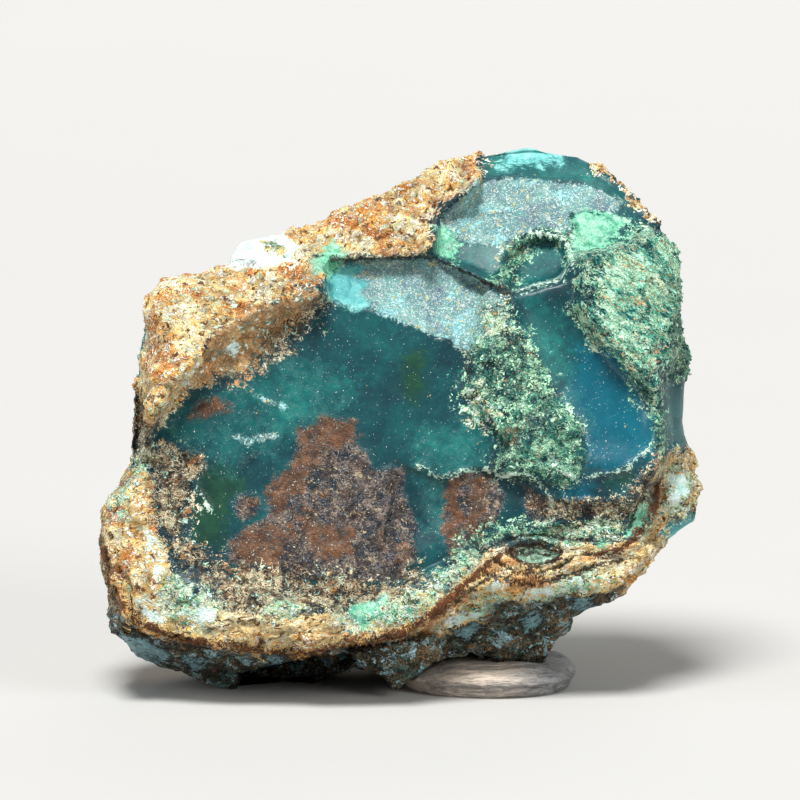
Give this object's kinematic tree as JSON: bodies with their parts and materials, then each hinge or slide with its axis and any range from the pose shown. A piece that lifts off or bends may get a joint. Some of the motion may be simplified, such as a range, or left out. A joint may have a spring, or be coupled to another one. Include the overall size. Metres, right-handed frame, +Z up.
{
  "type": "blue opal specimen",
  "caption": "Rough lump of blue-green opal in a granular rind, standing upright on its own foot and a pressed wad of mounting putty.",
  "frame": {"origin": "middle of the specimen's length and breadth, on the level that it stands on", "axes": "+Z up, +X to the right along the stone's length, -Y out of its broken opal face"},
  "size_m": [0.0442, 0.0244, 0.038],
  "materials": {
    "opal": "broken glassy teal opal, partly frosted, with a crumbly orange, cream and brown rind",
    "putty": "matt greyish-beige mounting putty with smeared finger ridges"
  },
  "bodies": {
    "root": {"opal_stone": "opal", "putty_rest": "putty"}
  },
  "joints": []
}
